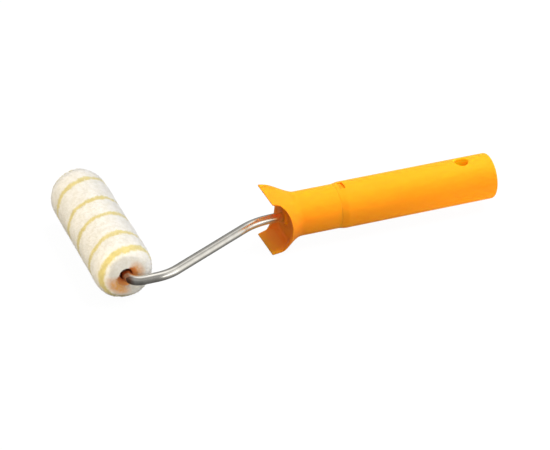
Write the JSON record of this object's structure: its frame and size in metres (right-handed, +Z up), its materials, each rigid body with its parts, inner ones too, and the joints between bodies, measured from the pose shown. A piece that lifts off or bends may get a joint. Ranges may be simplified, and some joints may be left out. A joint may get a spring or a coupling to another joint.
{
  "type": "paint roller",
  "caption": "Small paint roller with a striped pile refill on a cranked wire frame, a winged drip guard and a hollow round grip with a hanging hole.",
  "frame": {"origin": "centre of the hanging hole, on the handle's axis", "axes": "+X along the handle from the roller towards the butt, +Y parallel to the roller's axle towards its free end, +Z up, square to the plane of the wire and along the hanging hole"},
  "size_m": [0.2698, 0.1197, 0.0376],
  "materials": {
    "wire": "bright plated, lightly drawn",
    "spring_steel": "oiled spring steel",
    "washer": "zinc plated",
    "caps": "moulded, satin",
    "spindle": "moulded, satin",
    "core": "extruded, plain",
    "nap": "dense woven pile, white with yellow stripes",
    "handle": "moulded, semi-gloss"
  },
  "bodies": {
    "frame": {"frame_wire": "wire", "push_nut": "spring_steel", "thrust_washer": "washer", "guard_collar": "handle", "grip_tube": "handle"},
    "spinner": {"near_end_cap": "caps", "far_end_cap": "caps", "spindle": "spindle"},
    "refill": {"sleeve_core": "core", "nap_cover": "nap"}
  },
  "joints": [
    {"name": "roller_spin", "type": "hinge", "parent": "frame", "child": "spinner", "pos_m": [-0.2312, 0.024, 0], "axis": [0, 1, 0], "continuous": true},
    {"name": "refill_slide", "type": "slide", "parent": "spinner", "child": "refill", "axis": [0, 1, 0], "range_m": [0, 0.12]}
  ]
}
